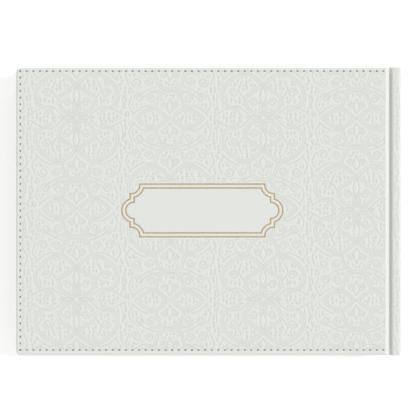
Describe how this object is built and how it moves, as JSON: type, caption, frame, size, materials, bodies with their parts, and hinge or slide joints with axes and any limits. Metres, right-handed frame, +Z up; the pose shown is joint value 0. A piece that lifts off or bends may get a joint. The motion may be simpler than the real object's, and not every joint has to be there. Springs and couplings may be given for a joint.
{
  "type": "wedding guest book",
  "caption": "Landscape wedding guest book with padded white embossed covers, stitched edges, a gold double-line plaque frame and hinged covers.",
  "frame": {"origin": "centre of the footprint on the surface the book lies on", "axes": "+X towards the spine, +Y towards the head, +Z up through the back cover"},
  "size_m": [0.236, 0.1768, 0.02],
  "materials": {
    "leatherette": "embossed matt",
    "greyboard": "matt",
    "foam": "soft",
    "card": "matt",
    "endpaper": "matt",
    "page_paper": "matt",
    "thread": "matt",
    "gold_foil": "satin",
    "gauze": "matt",
    "glue": "satin",
    "band_cloth": "matt"
  },
  "bodies": {
    "text_block": {"spine_leather": "leatherette", "spine_board": "greyboard", "spine_lining": "card", "spine_mull": "gauze", "spine_glue": "glue", "sewing_thread": "thread", "front_flyleaf": "endpaper", "bound_margins": "page_paper", "headband": "band_cloth", "tailband": "band_cloth", "signature_1": "page_paper", "signature_2": "page_paper", "signature_3": "page_paper", "signature_4": "page_paper", "signature_5": "page_paper", "signature_6": "page_paper", "signature_7": "page_paper", "signature_8": "page_paper"},
    "back_cover": {"back_leather": "leatherette", "back_board": "greyboard", "back_padding": "foam", "back_infill": "card", "back_pastedown": "endpaper", "back_stitching": "thread", "back_gold_frame": "gold_foil", "back_joint_leather": "leatherette"},
    "front_cover": {"front_leather": "leatherette", "front_board": "greyboard", "front_padding": "foam", "front_infill": "card", "front_pastedown": "endpaper", "front_stitching": "thread", "front_gold_frame": "gold_foil", "front_joint_leather": "leatherette"},
    "back_flyleaf": {"back_flyleaf": "endpaper"},
    "leaf_1": {"leaf_1": "page_paper"},
    "leaf_2": {"leaf_2": "page_paper"},
    "leaf_3": {"leaf_3": "page_paper"}
  },
  "joints": [
    {"name": "back_cover_hinge", "type": "hinge", "parent": "text_block", "child": "back_cover", "pos_m": [0.1145, 0, 0.0164], "axis": [0, 1, 0], "range_deg": [0, 180], "deforming": ["back_joint_leather"]},
    {"name": "front_cover_hinge", "type": "hinge", "parent": "text_block", "child": "front_cover", "pos_m": [0.1145, 0, 0.0036], "axis": [0, -1, 0], "range_deg": [0, 180], "deforming": ["front_joint_leather"]},
    {"name": "leaf_1_turn", "type": "hinge", "parent": "text_block", "child": "leaf_1", "pos_m": [0.108, 0, 0.0157], "axis": [0, 1, 0], "range_deg": [0, 28]},
    {"name": "leaf_2_turn", "type": "hinge", "parent": "text_block", "child": "leaf_2", "pos_m": [0.1084, 0, 0.0159], "axis": [0, 1, 0], "range_deg": [0, 55]},
    {"name": "leaf_3_turn", "type": "hinge", "parent": "text_block", "child": "leaf_3", "pos_m": [0.1088, 0, 0.0161], "axis": [0, 1, 0], "range_deg": [0, 82]},
    {"name": "back_flyleaf_turn", "type": "hinge", "parent": "text_block", "child": "back_flyleaf", "pos_m": [0.1092, 0, 0.0163], "axis": [0, 1, 0], "range_deg": [0, 136]}
  ],
  "couplings": [
    {"joint": "leaf_1_turn", "follows": "back_cover_hinge", "ratio": 0.15},
    {"joint": "leaf_2_turn", "follows": "back_cover_hinge", "ratio": 0.3},
    {"joint": "leaf_3_turn", "follows": "back_cover_hinge", "ratio": 0.45},
    {"joint": "back_flyleaf_turn", "follows": "back_cover_hinge", "ratio": 0.75}
  ]
}
